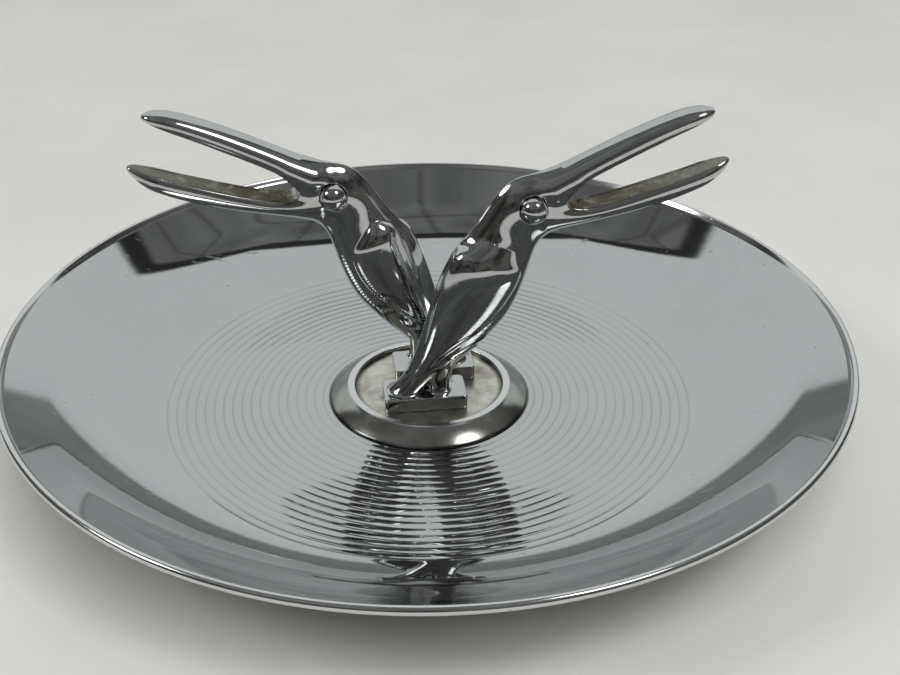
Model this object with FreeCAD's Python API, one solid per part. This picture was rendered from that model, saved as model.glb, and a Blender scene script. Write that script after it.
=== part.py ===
"""Chromed spun dish with twin long-billed birds on a bevelled hub.

Frame: millimetres, +Z up.  The origin is the middle of the face that the dish rests on.
The rear bird is the front bird's casting turned half a turn about Z; its figure stands a little
further in on its foot block.
Heights in the bird's own tables are measured from the dish floor's upper surface.
"""
import FreeCAD, Part

import math
import os

Vector = FreeCAD.Vector
UP = Vector(0, 0, 1)

# ---- Driving dimensions ------------------------------------------------------------------
# Dish
RIM_RADIUS = 115.0
RIM_BEAD_RADIUS = 1.1
RIM_HEIGHT = 24.2            # top of the rolled rim above the dish floor
SHEET = 1.2
FLAT_FLOOR_RADIUS = 60.0
WALL_SLOPE = math.radians(38.0)
GROOVE_COUNT = 18
GROOVE_PITCH = 2.55
GROOVE_FIRST_RADIUS = 30.2
GROOVE_TOOL_RADIUS = 0.7
GROOVE_DEPTH = 0.2

# Felt ring under the dish
FELT_THICKNESS = 2.0
FELT_INNER_RADIUS = 32.0
FELT_OUTER_RADIUS = 58.0
FELT_EDGE = 0.4

# Raised centre of the dish, with the ring and plate that cover it
BOSS_RADIUS = 21.1
BOSS_RISE = 1.7
BOSS_FOOT_FILLET = 0.4
PLATE_RADIUS = 21.0
PLATE_THICKNESS = 0.9
RING_FOOT_RADIUS = 28.3
RING_FOOT_LAND = 0.4
RING_CROWN_RADIUS = 22.9
RING_HEIGHT = 4.0
RING_RELIEF = 0.9            # inner foot chamfer, clear of the boss's foot fillet

# Foot blocks of the birds
BIRD_OFFSET = 7.5            # from the dish's middle to each bird's median plane
BLOCK_INNER_END = 9.4
BLOCK_OUTER_END = -13.6
BLOCK_WIDTH = 11.6
BLOCK_HEIGHT = 4.0
BLOCK_CORNER = 1.3
BLOCK_TOP_EDGE = 0.5

# How far each figure above its block stands in towards the dish's middle
FRONT_SET_BACK = 0.0
REAR_SET_BACK = 1.8
SET_BACK_RISE = 12.0         # height over which the tail and legs bend to it

# Eyes
EYE_RADIUS = 3.5
EYE_X = 26.1
EYE_Z = 60.9
EYE_OFFSET = 4.6             # from the median plane to the ball's middle

# Screws and washers, two sets to each bird
SCREW_FROM_BLOCK_MIDDLE = 6.5
SCREW_RADIUS = 1.75
SCREW_HEAD_RADIUS = 3.3
SCREW_HEAD_HEIGHT = 1.7
SCREW_HEAD_EDGE = 0.5
SCREW_SLOT_WIDTH = 0.9
SCREW_SLOT_DEPTH = 0.8
SCREW_ENGAGEMENT = 2.4
TAPPED_HOLE_DEPTH = 2.7
CLEARANCE_HOLE_RADIUS = 2.0
FLAT_WASHER_RADIUS = 4.0
FLAT_WASHER_THICKNESS = 0.7
LOCK_WASHER_RADIUS = 3.1
LOCK_WASHER_THICKNESS = 0.9
LOCK_WASHER_GAP = 0.8
WASHER_HOLE_RADIUS = 1.85

# ---- Heights that follow from them ------------------------------------------------------------------
FLOOR_TOP = FELT_THICKNESS + SHEET
BOSS_TOP = FLOOR_TOP + BOSS_RISE
BOSS_UNDERSIDE = BOSS_TOP - SHEET
PLATE_TOP = BOSS_TOP + PLATE_THICKNESS
BLOCK_TOP = PLATE_TOP + BLOCK_HEIGHT

# ---- Bird outline, from the side: x towards the bill tips, z above the dish floor --------------
# Body sections from tail to bill root: ridge x, ridge z, belly x, belly z, half width
BODY_SECTIONS = [
    (-12.6, 6.9, -9.6, 4.2, 2.0),
    (-10.4, 8.8, -6.0, 5.0, 2.7),
    (-7.2, 12.6, -2.4, 7.4, 3.6),
    (-4.6, 18.4, 3.6, 12.4, 4.7),
    (-2.7, 24.6, 10.4, 18.0, 5.6),
    (-0.9, 31.0, 16.6, 24.2, 6.3),
    (1.2, 38.0, 21.4, 30.6, 6.5),
    (3.8, 44.6, 24.9, 39.0, 6.1),
    (7.6, 50.6, 26.9, 45.9, 5.4),
    (12.6, 57.0, 29.4, 50.6, 4.9),
    (16.6, 63.2, 33.2, 53.7, 5.1),
    (21.8, 67.8, 36.6, 54.8, 5.2),
    (27.8, 69.5, 39.2, 55.4, 4.8),
    (33.4, 71.0, 41.6, 55.9, 4.3),
]

# Upper bill: crown x, crown z, flat underside x, z, half width
UPPER_BILL_SECTIONS = [
    (22.4, 67.4, 28.2, 60.4, 4.2),
    (33.8, 71.2, 37.2, 65.4, 4.6),
    (38.8, 73.6, 41.1, 68.1, 4.6),
    (48.8, 78.3, 50.9, 73.2, 4.5),
    (58.7, 82.5, 60.6, 77.9, 4.3),
    (65.2, 84.7, 66.7, 80.4, 3.9),
    (69.6, 85.9, 70.7, 82.2, 3.0),
    (72.4, 86.0, 72.9, 83.4, 1.9),
]
UPPER_BILL_TIP = (74.2, 84.6)

# Lower bill: keel x, keel z, flat top x, z, half width
LOWER_BILL_SECTIONS = [
    (30.6, 52.4, 30.2, 59.8, 4.2),
    (39.3, 55.2, 38.3, 59.8, 4.5),
    (49.8, 57.1, 48.7, 61.7, 4.5),
    (60.3, 59.6, 58.8, 64.7, 4.4),
    (68.2, 62.4, 66.4, 66.9, 4.0),
    (73.7, 64.7, 71.8, 68.7, 3.3),
    (77.2, 66.9, 75.4, 70.2, 2.3),
    (78.9, 68.7, 77.6, 71.0, 1.3),
]
LOWER_BILL_TIP = (79.3, 70.5)

# Open mouth: along the upper bill's underside, round the corner and out along the lower bill
MOUTH_OUTLINE = [
    (85.0, 88.6), (70.0, 81.9), (60.6, 77.8), (50.9, 73.2), (41.1, 68.3),
    (37.0, 65.6), (35.0, 62.6), (36.2, 60.2), (40.8, 60.4),
    (51.3, 62.5), (61.6, 65.5), (70.6, 68.6), (87.0, 76.0),
]

# Wing: middle x, middle z, half breadth, how far out of the median plane it stands
WING_SECTIONS = [
    (20.0, 48.9, 2.4, 6.2),
    (17.4, 44.6, 5.0, 7.8),
    (13.6, 38.6, 6.6, 8.3),
    (9.0, 32.0, 6.3, 8.0),
    (4.5, 25.4, 5.1, 7.1),
    (0.1, 18.8, 3.6, 5.9),
    (-4.2, 12.8, 2.1, 4.5),
]
WING_SHOULDER_TIP = (21.0, 50.4)
WING_POINT = (-8.0, 7.6)
WING_ROOT_DEPTH = 2.5        # where the wing's own sections are centred, off the median plane

# Legs: middle x, z, half length
LEG_SECTIONS = [
    (2.8, 15.6, 3.2),
    (1.8, 10.0, 2.9),
    (1.9, 7.4, 3.1),
    (2.2, 5.6, 3.7),
]
LEG_OFFSET = 2.3
LEG_HALF_WIDTH = 1.9


# ---- Helpers -------------------------------------------------------------------------------
def face_from_points(points):
    """Flat face inside a closed run of (x, z) points in the XZ plane."""
    corners = [Vector(x, 0, z) for x, z in points]
    return Part.Face(Part.makePolygon(corners + corners[:1]))


def turned(face):
    """The solid that a face beside the Z axis sweeps in one turn."""
    return face.revolve(Vector(), UP, 360)


def vertical_rod(x, y, bottom, top, radius):
    return Part.makeCylinder(radius, top - bottom, Vector(x, y, bottom))


def closed_curve(points):
    curve = Part.BSplineCurve()
    curve.interpolate(points, PeriodicFlag=True)
    return Part.Wire(curve.toShape())


def oval(middle, long_axis, wide_axis, points=16):
    """Oval wire given by its middle and its two half axes."""
    turns = [2 * math.pi * step / points for step in range(points)]
    return closed_curve([middle + long_axis * math.cos(a) + wide_axis * math.sin(a) for a in turns])


def side_point(x, z, y, set_back):
    """A point of the bird's side view, in the frame."""
    share = min(max((z + FLOOR_TOP - BLOCK_TOP) / SET_BACK_RISE, 0.0), 1.0)
    return Vector(x - set_back * share ** 2 * (3 - 2 * share), y, z + FLOOR_TOP)


def half_turn(shape):
    turned_shape = shape.copy()
    turned_shape.rotate(Vector(), UP, 180)
    return turned_shape


def save(name, shape):
    shape.exportStep(os.path.join("parts", name + ".step"))


# ---- Dish, felt, ring and plate ------------------------------------------------------------
def wall_radius():
    """Radius of the curve between flat floor and straight wall, so that the wall meets the bead."""
    reach = RIM_RADIUS - RIM_BEAD_RADIUS - FLAT_FLOOR_RADIUS
    rise = RIM_HEIGHT - RIM_BEAD_RADIUS / 2
    slope = math.tan(WALL_SLOPE)
    return (reach * slope - rise) / (math.sin(WALL_SLOPE) * slope - 1 + math.cos(WALL_SLOPE))


def floor_height(radius):
    """Height of the dish's upper surface over the flat floor and the curve."""
    out = max(0.0, radius - FLAT_FLOOR_RADIUS)
    return FLOOR_TOP + wall_radius() - math.sqrt(wall_radius() ** 2 - out ** 2)


def skin_edges(drop):
    """Edges of the dish's profile from centre to rim, a distance below its upper surface."""
    bend = wall_radius()
    fold = BOSS_FOOT_FILLET + drop
    boss = BOSS_RADIUS - drop
    crown = SHEET - drop
    foot = BOSS_RADIUS + BOSS_FOOT_FILLET
    foot_z = FLOOR_TOP + BOSS_FOOT_FILLET
    crown_z = BOSS_TOP - SHEET
    diagonal = math.sqrt(0.5)
    centre = Vector(FLAT_FLOOR_RADIUS, 0, FLOOR_TOP + bend)

    def around(angle):
        return centre + Vector(math.sin(angle), 0, -math.cos(angle)) * (bend + drop)

    wall_foot = around(WALL_SLOPE)
    run = RIM_RADIUS - RIM_BEAD_RADIUS - wall_foot.x
    wall_top = wall_foot + Vector(run, 0, run * math.tan(WALL_SLOPE))
    edges = [Part.makeLine(Vector(0, 0, BOSS_TOP - drop), Vector(boss - crown, 0, BOSS_TOP - drop))]
    if crown > 0:
        bulge = Vector(boss - crown + crown * diagonal, 0, crown_z + crown * diagonal)
        arc = Part.Arc(Vector(boss - crown, 0, BOSS_TOP - drop), bulge, Vector(boss, 0, crown_z))
        edges.append(arc.toShape())
    hollow = Vector(foot - fold * diagonal, 0, foot_z - fold * diagonal)
    edges.append(Part.makeLine(Vector(boss, 0, crown_z), Vector(boss, 0, foot_z)))
    edges.append(Part.Arc(Vector(boss, 0, foot_z), hollow, Vector(foot, 0, foot_z - fold)).toShape())
    edges.append(Part.makeLine(Vector(foot, 0, foot_z - fold), around(0)))
    edges.append(Part.Arc(around(0), around(WALL_SLOPE / 2), wall_foot).toShape())
    edges.append(Part.makeLine(wall_foot, wall_top))
    return edges, wall_top


def screw_places():
    """Plan positions of the four screws: front bird outer and inner, rear bird outer and inner."""
    middle = (BLOCK_INNER_END + BLOCK_OUTER_END) / 2
    outer = middle - SCREW_FROM_BLOCK_MIDDLE
    inner = middle + SCREW_FROM_BLOCK_MIDDLE
    return [
        ("front_outer", outer, -BIRD_OFFSET),
        ("front_inner", inner, -BIRD_OFFSET),
        ("rear_outer", -outer, BIRD_OFFSET),
        ("rear_inner", -inner, BIRD_OFFSET),
    ]


def clearance_holes():
    rods = [vertical_rod(x, y, 0, PLATE_TOP + 1, CLEARANCE_HOLE_RADIUS) for _, x, y in screw_places()]
    return Part.makeCompound(rods)


def make_dish():
    """Spun sheet with a raised centre, turned grooves, a flared wall and a rolled rim."""
    upper, upper_end = skin_edges(0.0)
    lower, lower_end = skin_edges(SHEET)
    axis_edge = Part.makeLine(lower[0].Vertexes[0].Point, upper[0].Vertexes[0].Point)
    end_edge = Part.makeLine(upper_end, lower_end)
    outline = Part.Wire(Part.__sortEdges__(upper + [end_edge] + lower + [axis_edge]))
    sheet = turned(Part.Face(outline))
    bead_centre = Vector(0, 0, FLOOR_TOP + RIM_HEIGHT - RIM_BEAD_RADIUS)
    bead = Part.makeTorus(RIM_RADIUS - RIM_BEAD_RADIUS, RIM_BEAD_RADIUS, bead_centre)
    grooves = []
    for number in range(GROOVE_COUNT):
        radius = GROOVE_FIRST_RADIUS + number * GROOVE_PITCH
        height = floor_height(radius) + GROOVE_TOOL_RADIUS - GROOVE_DEPTH
        grooves.append(Part.makeTorus(radius, GROOVE_TOOL_RADIUS, Vector(0, 0, height)))
    return sheet.fuse(bead).cut(Part.makeCompound(grooves)).cut(clearance_holes())


def make_felt_ring():
    outline = [
        (FELT_INNER_RADIUS + FELT_EDGE, 0), (FELT_OUTER_RADIUS - FELT_EDGE, 0),
        (FELT_OUTER_RADIUS, FELT_EDGE), (FELT_OUTER_RADIUS, FELT_THICKNESS),
        (FELT_INNER_RADIUS, FELT_THICKNESS), (FELT_INNER_RADIUS, FELT_EDGE),
    ]
    return turned(face_from_points(outline))


def make_hub_ring():
    """Bevelled ring pressed over the dish's raised centre."""
    top = FLOOR_TOP + RING_HEIGHT
    outline = [
        (BOSS_RADIUS + RING_RELIEF, FLOOR_TOP), (RING_FOOT_RADIUS, FLOOR_TOP),
        (RING_FOOT_RADIUS, FLOOR_TOP + RING_FOOT_LAND), (RING_CROWN_RADIUS, top),
        (BOSS_RADIUS, top), (BOSS_RADIUS, FLOOR_TOP + RING_RELIEF),
    ]
    return turned(face_from_points(outline))


def make_hub_plate():
    plate = Part.makeCylinder(PLATE_RADIUS, PLATE_THICKNESS, Vector(0, 0, BOSS_TOP))
    return plate.cut(clearance_holes())


# ---- Birds ---------------------------------------------------------------------------------
def body_section(ridge_x, ridge_z, belly_x, belly_z, half_width, set_back):
    """Section with a keen ridge along the back and a round belly."""
    ridge = side_point(ridge_x, ridge_z, 0, set_back)
    belly = side_point(belly_x, belly_z, 0, set_back)
    middle = (ridge + belly) * 0.5
    reach = (ridge - belly) * 0.5
    points = []
    for step in range(16):
        angle = 2 * math.pi * step / 16
        taper = 1 - 0.22 * max(0.0, math.cos(angle))
        across = Vector(0, half_width * math.sin(angle) * taper, 0)
        points.append(middle + reach * math.cos(angle) + across)
    return closed_curve(points)


def make_body(set_back):
    return Part.makeLoft([body_section(*row, set_back) for row in BODY_SECTIONS], True)


def make_bill(sections, tip, set_back):
    """One half of the bill: ovals whose middle lies on the flat inner face."""
    wires = []
    for out_x, out_z, flat_x, flat_z, half_width in sections:
        middle = side_point(flat_x, flat_z, 0, set_back)
        outer = side_point(out_x, out_z, 0, set_back)
        wires.append(oval(middle, outer - middle, Vector(0, half_width, 0)))
    return Part.makeLoft(wires + [Part.Vertex(side_point(*tip, 0, set_back))], True)


def make_mouth(set_back):
    """Everything that the open bill leaves free."""
    half = BLOCK_WIDTH
    curve = Part.BSplineCurve()
    curve.interpolate([side_point(x, z, -half, set_back) for x, z in MOUTH_OUTLINE])
    ends = Part.makeLine(curve.EndPoint, curve.StartPoint)
    return Part.Face(Part.Wire([curve.toShape(), ends])).extrude(Vector(0, 2 * half, 0))


def make_wing(side, set_back):
    """Raised teardrop on one flank, blunt at the shoulder and pointed at the foot block."""
    root = side * WING_ROOT_DEPTH
    middles = [side_point(x, z, root, set_back) for x, z, _, _ in WING_SECTIONS]
    wires = []
    for number, (_, _, breadth, stand_out) in enumerate(WING_SECTIONS):
        before = middles[max(number - 1, 0)]
        after = middles[min(number + 1, len(middles) - 1)]
        along = (after - before).normalize()
        across = Vector(-along.z, 0, along.x)
        outward = Vector(0, side * (stand_out - WING_ROOT_DEPTH), 0)
        wires.append(oval(middles[number], across * breadth, outward))
    shoulder = Part.Vertex(side_point(*WING_SHOULDER_TIP, root, set_back))
    point = Part.Vertex(side_point(*WING_POINT, root, set_back))
    return Part.makeLoft([shoulder] + wires + [point], True)


def make_leg(side, set_back):
    wires = []
    for x, z, half_length in LEG_SECTIONS:
        middle = side_point(x, z, side * LEG_OFFSET, set_back)
        wires.append(oval(middle, Vector(half_length, 0, 0), Vector(0, LEG_HALF_WIDTH, 0)))
    return Part.makeLoft(wires, True)


def make_block():
    length = BLOCK_INNER_END - BLOCK_OUTER_END
    corner = Vector(BLOCK_OUTER_END, -BLOCK_WIDTH / 2, PLATE_TOP)
    block = Part.makeBox(length, BLOCK_WIDTH, BLOCK_HEIGHT, corner)
    upright = [edge for edge in block.Edges if abs(edge.tangentAt(edge.FirstParameter).z) > 0.9]
    block = block.makeFillet(BLOCK_CORNER, upright)
    top = [edge for edge in block.Edges if edge.BoundBox.ZMin > BLOCK_TOP - 0.01]
    return block.makeFillet(BLOCK_TOP_EDGE, top)


def make_eye(side, set_back):
    return Part.makeSphere(EYE_RADIUS, side_point(EYE_X, EYE_Z, side * EYE_OFFSET, set_back))


def make_bird(set_back):
    """One casting, about its own median plane: body, bill, wings, legs and foot block."""
    limbs = [
        make_bill(UPPER_BILL_SECTIONS, UPPER_BILL_TIP, set_back),
        make_bill(LOWER_BILL_SECTIONS, LOWER_BILL_TIP, set_back),
        make_wing(-1, set_back), make_wing(1, set_back),
        make_leg(-1, set_back), make_leg(1, set_back),
    ]
    above_plate = Part.makeBox(200, 60, 200, Vector(-100, -30, PLATE_TOP + BLOCK_HEIGHT / 2))
    figure = make_body(set_back).fuse(limbs).common(above_plate)
    bird = figure.fuse(make_block()).cut(make_mouth(set_back))
    bird = bird.cut(Part.makeCompound([make_eye(-1, set_back), make_eye(1, set_back)]))
    holes = []
    for name, x, _ in screw_places():
        if name.startswith("front"):
            holes.append(vertical_rod(x, 0, PLATE_TOP - 1, PLATE_TOP + TAPPED_HOLE_DEPTH, SCREW_RADIUS))
    return bird.cut(Part.makeCompound(holes))


# ---- Fasteners -----------------------------------------------------------------------------
def make_flat_washer(x, y):
    bottom = BOSS_UNDERSIDE - FLAT_WASHER_THICKNESS
    disc = vertical_rod(x, y, bottom, BOSS_UNDERSIDE, FLAT_WASHER_RADIUS)
    return disc.cut(vertical_rod(x, y, bottom - 1, BOSS_UNDERSIDE + 1, WASHER_HOLE_RADIUS))


def make_lock_washer(x, y):
    """Split spring washer, shown flattened."""
    top = BOSS_UNDERSIDE - FLAT_WASHER_THICKNESS
    bottom = top - LOCK_WASHER_THICKNESS
    disc = vertical_rod(x, y, bottom, top, LOCK_WASHER_RADIUS)
    split = Part.makeBox(
        LOCK_WASHER_RADIUS + 1, LOCK_WASHER_GAP, LOCK_WASHER_THICKNESS + 2,
        Vector(x, y - LOCK_WASHER_GAP / 2, bottom - 1))
    return disc.cut(vertical_rod(x, y, bottom - 1, top + 1, WASHER_HOLE_RADIUS)).cut(split)


def make_screw(x, y, slot_angle):
    """Slotted pan-head screw, driven upwards into a foot block."""
    seat = BOSS_UNDERSIDE - FLAT_WASHER_THICKNESS - LOCK_WASHER_THICKNESS
    face = seat - SCREW_HEAD_HEIGHT
    head = vertical_rod(x, y, face, seat, SCREW_HEAD_RADIUS)
    rim = [edge for edge in head.Edges if edge.BoundBox.ZMax < face + 0.01]
    head = head.makeFillet(SCREW_HEAD_EDGE, rim)
    shank = vertical_rod(x, y, seat - 0.2, PLATE_TOP + SCREW_ENGAGEMENT, SCREW_RADIUS)
    slot = Part.makeBox(
        2 * SCREW_HEAD_RADIUS + 2, SCREW_SLOT_WIDTH, SCREW_SLOT_DEPTH + 1,
        Vector(-SCREW_HEAD_RADIUS - 1, -SCREW_SLOT_WIDTH / 2, face - 1))
    slot.rotate(Vector(), UP, slot_angle)
    slot.translate(Vector(x, y, 0))
    return head.fuse(shank).cut(slot)


# ---- Output --------------------------------------------------------------------------------
def main():
    os.makedirs("parts", exist_ok=True)
    save("dish", make_dish())
    save("felt_ring", make_felt_ring())
    save("hub_ring", make_hub_ring())
    save("hub_plate", make_hub_plate())

    to_front = Vector(0, -BIRD_OFFSET, 0)
    save("front_bird", make_bird(FRONT_SET_BACK).translated(to_front))
    save("rear_bird", half_turn(make_bird(REAR_SET_BACK).translated(to_front)))
    for side, word in ((-1, "near"), (1, "far")):
        save("front_bird_eye_" + word, make_eye(side, FRONT_SET_BACK).translated(to_front))
        save("rear_bird_eye_" + word, half_turn(make_eye(-side, REAR_SET_BACK).translated(to_front)))

    for number, (name, x, y) in enumerate(screw_places()):
        save("screw_" + name, make_screw(x, y, 25 + 50 * number))
        save("lock_washer_" + name, make_lock_washer(x, y))
        save("flat_washer_" + name, make_flat_washer(x, y))


main()
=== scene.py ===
"""Chromed dish with twin long-billed birds: the looks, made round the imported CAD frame.

The scene is in metres, in the CAD frame; outlines are in millimetres.  The birds are distance fields,
swept from rows close to the castings' own, joined with small fillets and meshed; dish, ring and eyes
are turned profiles.  The plate, the felt and the fasteners stay the CAD's own, with new materials.
"""
import math

import bpy
import numpy as np
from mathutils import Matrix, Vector


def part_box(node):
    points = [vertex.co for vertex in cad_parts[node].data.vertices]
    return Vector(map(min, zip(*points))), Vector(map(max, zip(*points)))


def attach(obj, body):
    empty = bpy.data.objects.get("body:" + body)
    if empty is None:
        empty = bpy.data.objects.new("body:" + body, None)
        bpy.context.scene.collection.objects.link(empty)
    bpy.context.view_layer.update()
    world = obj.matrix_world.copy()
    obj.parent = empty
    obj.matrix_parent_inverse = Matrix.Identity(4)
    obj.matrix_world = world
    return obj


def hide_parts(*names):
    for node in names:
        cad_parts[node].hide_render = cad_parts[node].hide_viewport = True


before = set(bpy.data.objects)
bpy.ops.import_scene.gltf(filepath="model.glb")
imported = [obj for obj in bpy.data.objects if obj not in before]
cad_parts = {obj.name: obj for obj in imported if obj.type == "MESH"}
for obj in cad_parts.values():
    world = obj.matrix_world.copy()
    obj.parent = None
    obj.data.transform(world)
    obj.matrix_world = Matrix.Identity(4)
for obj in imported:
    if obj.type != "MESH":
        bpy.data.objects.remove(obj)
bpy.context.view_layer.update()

MM = 0.001

# ---- Places taken from the frame ---------------------------------------------------------------
BIRD_LOW, BIRD_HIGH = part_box("front_bird")
PLATE_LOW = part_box("hub_plate")[0]
RING_LOW, RING_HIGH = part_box("hub_ring")
DISH_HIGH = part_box("dish")[1]
FLOOR_TOP = RING_LOW.z                       # the hub ring stands on the dish's floor
MEDIAN_PLANE = (BIRD_LOW.y + BIRD_HIGH.y) / 2

# ---- Dish and ring, millimetres ------------------------------------------------------------------
RIM_RADIUS = DISH_HIGH.x / MM
RIM_BEAD_RADIUS = 1.1
BEAD_MIDDLE = (RIM_RADIUS - RIM_BEAD_RADIUS, DISH_HIGH.z / MM - RIM_BEAD_RADIUS)
BEAD_ARC = (118, -110)                       # from the wall's upper skin over the rim to its underside
SHEET = 1.2
FLOOR_MM = FLOOR_TOP / MM
FLAT_FLOOR_RADIUS = 60.0
WALL_SLOPE = math.radians(38.0)
WALL_INTO_BEAD = 0.75                        # the wall's skins end inside the bead, short of its middle
UNDERSIDE_SHORTER = 0.6
WALL_STEPS, UNDERSIDE_STEPS, BEAD_STEPS = 44, 30, 26
BOSS_RADIUS = 21.1
BOSS_TOP = PLATE_LOW.z / MM
BOSS_FOOT_FILLET = 0.4
BOSS_RINGS = (10, 18)                        # rings of points on the flat parts keep the faces small
FLOOR_RING = 25
UNDERSIDE_RINGS = (50, 35)
GROOVE_PITCH = 2.55
GROOVE_FIRST = 30.2
GROOVE_COUNT = 18
GROOVE_DEPTH = 0.11
GROOVE_HALF_WIDTH = 0.5
GROOVE_OFFSETS = (-1.05, -0.75, -0.5, -0.25, 0.0, 0.25, 0.5, 0.75, 1.05)
DISH_SIDES = 336
RING_SIDES = 360
RING_BEVEL_REACH = 5.4                       # from the foot's edge in to the crown
RING_RELIEF = 0.9
RING_EDGE = 0.06                             # how far the foot's edge is rounded off
RING_BULGE = 0.12
RING_BEVEL_STEPS = 13
EYE_SIDES, EYE_STEPS = 96, 48

# ---- Bird outlines, millimetres: x towards the bill tips, z above the dish floor -----------------
# Each row: one edge's x, z, the other edge's x, z, half width, distance of the middle off the median plane
BODY = [
    (-13.6, 6.0, -10.4, 1.6, 4.3, 0), (-10.6, 8.6, -6.0, 3.6, 4.2, 0), (-7.2, 12.6, -2.4, 7.4, 4.1, 0),
    (-4.6, 18.4, 3.6, 12.4, 4.7, 0), (-2.7, 24.6, 10.4, 18.0, 5.4, 0), (-0.9, 31.0, 16.6, 24.2, 6.0, 0),
    (1.2, 38.0, 21.4, 30.6, 6.3, 0), (3.8, 44.6, 24.9, 39.0, 6.1, 0), (7.6, 50.6, 26.9, 45.9, 5.4, 0),
    (12.6, 57.0, 29.2, 50.9, 4.7, 0), (16.6, 63.2, 33.4, 54.1, 4.9, 0), (21.8, 67.9, 36.6, 55.1, 4.6, 0),
    (27.8, 69.4, 39.4, 55.8, 4.2, 0), (33.4, 71.0, 41.2, 56.2, 3.8, 0),
]
UPPER_BILL = [
    (22.8, 66.9, 28.2, 60.0, 5.5, 0), (33.8, 71.5, 37.2, 65.4, 5.2, 0), (38.8, 73.8, 41.1, 68.1, 4.8, 0),
    (48.8, 78.5, 50.9, 73.2, 4.55, 0), (58.7, 82.6, 60.6, 77.9, 4.35, 0), (66.8, 85.2, 68.3, 81.0, 4.1, 0),
    (72.4, 86.2, 73.3, 82.3, 3.9, 0),
]
LOWER_BILL = [
    (29.5, 53.2, 29.8, 60.2, 4.6, 0), (39.3, 55.0, 38.3, 59.9, 4.7, 0), (49.8, 56.9, 48.7, 61.8, 4.6, 0),
    (60.3, 59.4, 58.8, 64.8, 4.45, 0), (68.2, 62.1, 66.4, 67.0, 4.2, 0), (74.1, 64.9, 72.0, 68.9, 3.9, 0),
    (79.3, 68.6, 77.6, 71.6, 3.6, 0),
]
MOUTH = [
    (36.6, 65.6, 33.6, 60.0, 9, 0), (40.6, 68.2, 39.9, 60.3, 9, 0), (46.0, 71.0, 46.0, 61.3, 9, 0),
    (55.7, 75.5, 56.2, 63.9, 9, 0), (65.6, 79.9, 66.3, 67.0, 9, 0), (72.9, 83.2, 73.6, 69.9, 9, 0),
    (85.0, 88.6, 87.0, 76.0, 9, 0),
]
# The wing on the -Y flank reaches nearly to the back's ridge; the one on the +Y flank is narrower
RIGHT_WING = [
    (14.0, 53.0, 21.6, 49.4, 2.9, -2.7), (9.2, 50.4, 23.6, 43.8, 4.3, -3.1),
    (5.4, 47.6, 21.6, 37.6, 5.1, -3.2), (2.6, 41.0, 17.6, 31.0, 5.1, -3.0),
    (0.6, 34.0, 12.6, 25.4, 4.8, -2.7), (-1.0, 27.0, 7.2, 20.6, 4.1, -2.3),
    (-2.9, 20.0, 1.8, 15.8, 3.2, -1.9), (-6.0, 13.2, -2.8, 11.0, 2.2, -1.6),
    (-9.6, 7.6, -7.4, 6.4, 1.4, -1.4),
]
LEFT_WING = [
    (13.6, 55.0, 19.0, 51.4, 3.6, 3.0), (10.4, 51.4, 21.8, 45.4, 4.6, 3.1), (8.4, 46.6, 21.2, 39.4, 5.0, 3.2),
    (6.2, 40.6, 17.8, 32.6, 5.0, 3.0), (3.8, 33.8, 13.0, 27.2, 4.6, 2.7), (1.4, 26.8, 7.6, 22.0, 3.9, 2.3),
    (-1.6, 19.8, 2.0, 16.8, 3.0, 1.9), (-5.4, 13.2, -2.8, 11.2, 2.1, 1.6), (-9.6, 7.6, -7.4, 6.4, 1.4, 1.4),
]
LEG_ROWS = [
    (7.2, 18.6, -1.4, 15.6, 2.2), (5.2, 12.6, -1.2, 11.0, 1.9), (4.6, 9.0, -0.7, 8.6, 1.8),
    (4.8, 6.6, -0.6, 6.4, 2.0), (5.2, 3.6, -0.8, 3.4, 2.2),
]
LEG_OFFSET = 2.35
BLOCK_X = (-13.6, 9.4)
BLOCK_Z = (2.6, 6.6)
BLOCK_HALF_WIDTH = 5.8
BLOCK_CORNER = 1.3
BLOCK_EDGE = 0.35
EYE_X, EYE_Z, EYE_OFFSET, EYE_RADIUS = 26.1, 60.9, 4.6, 3.5
EYE_SEAT_GAP = 0.14
SHOULDER_Z, SHOULDER_RISE, SHOULDER_FILLET = 43.0, 7.0, 4.5    # the -Y wing melts into the neck above this
REAR_SET_BACK = 1.8          # the rear figure stands this much further in than its foot block
SET_BACK_RISE = 12.0
TROUGH_HALF_DEPTH = 0.55
TROUGH_LIP = 1.25                            # metal left each side of a bill's trough
RIDGE_BLUNTING = 0.0016                      # squared share of the half width that a ridge is rounded over

# Fillets where the parts of a casting meet, and rounded edges where it is carved
LOWER_FILLET, UPPER_FILLET, WING_FILLET = 3.0, 1.7, 0.5
LEG_FILLET, FOOT_FILLET, TAIL_FILLET = 0.8, 1.8, 1.2
MOUTH_EDGE, TROUGH_FILLET, TROUGH_EDGE, EYE_SEAT_EDGE = 0.6, 0.1, 0.3, 0.3

# Meshing
GRID_LOW, GRID_HIGH = (-15, -9.5, 2), (82, 9.5, 88.5)
GRID_STEP = 0.36
PROBE = 0.02
FILL_PASSES = 8
JUST_INSIDE = -0.001


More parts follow.
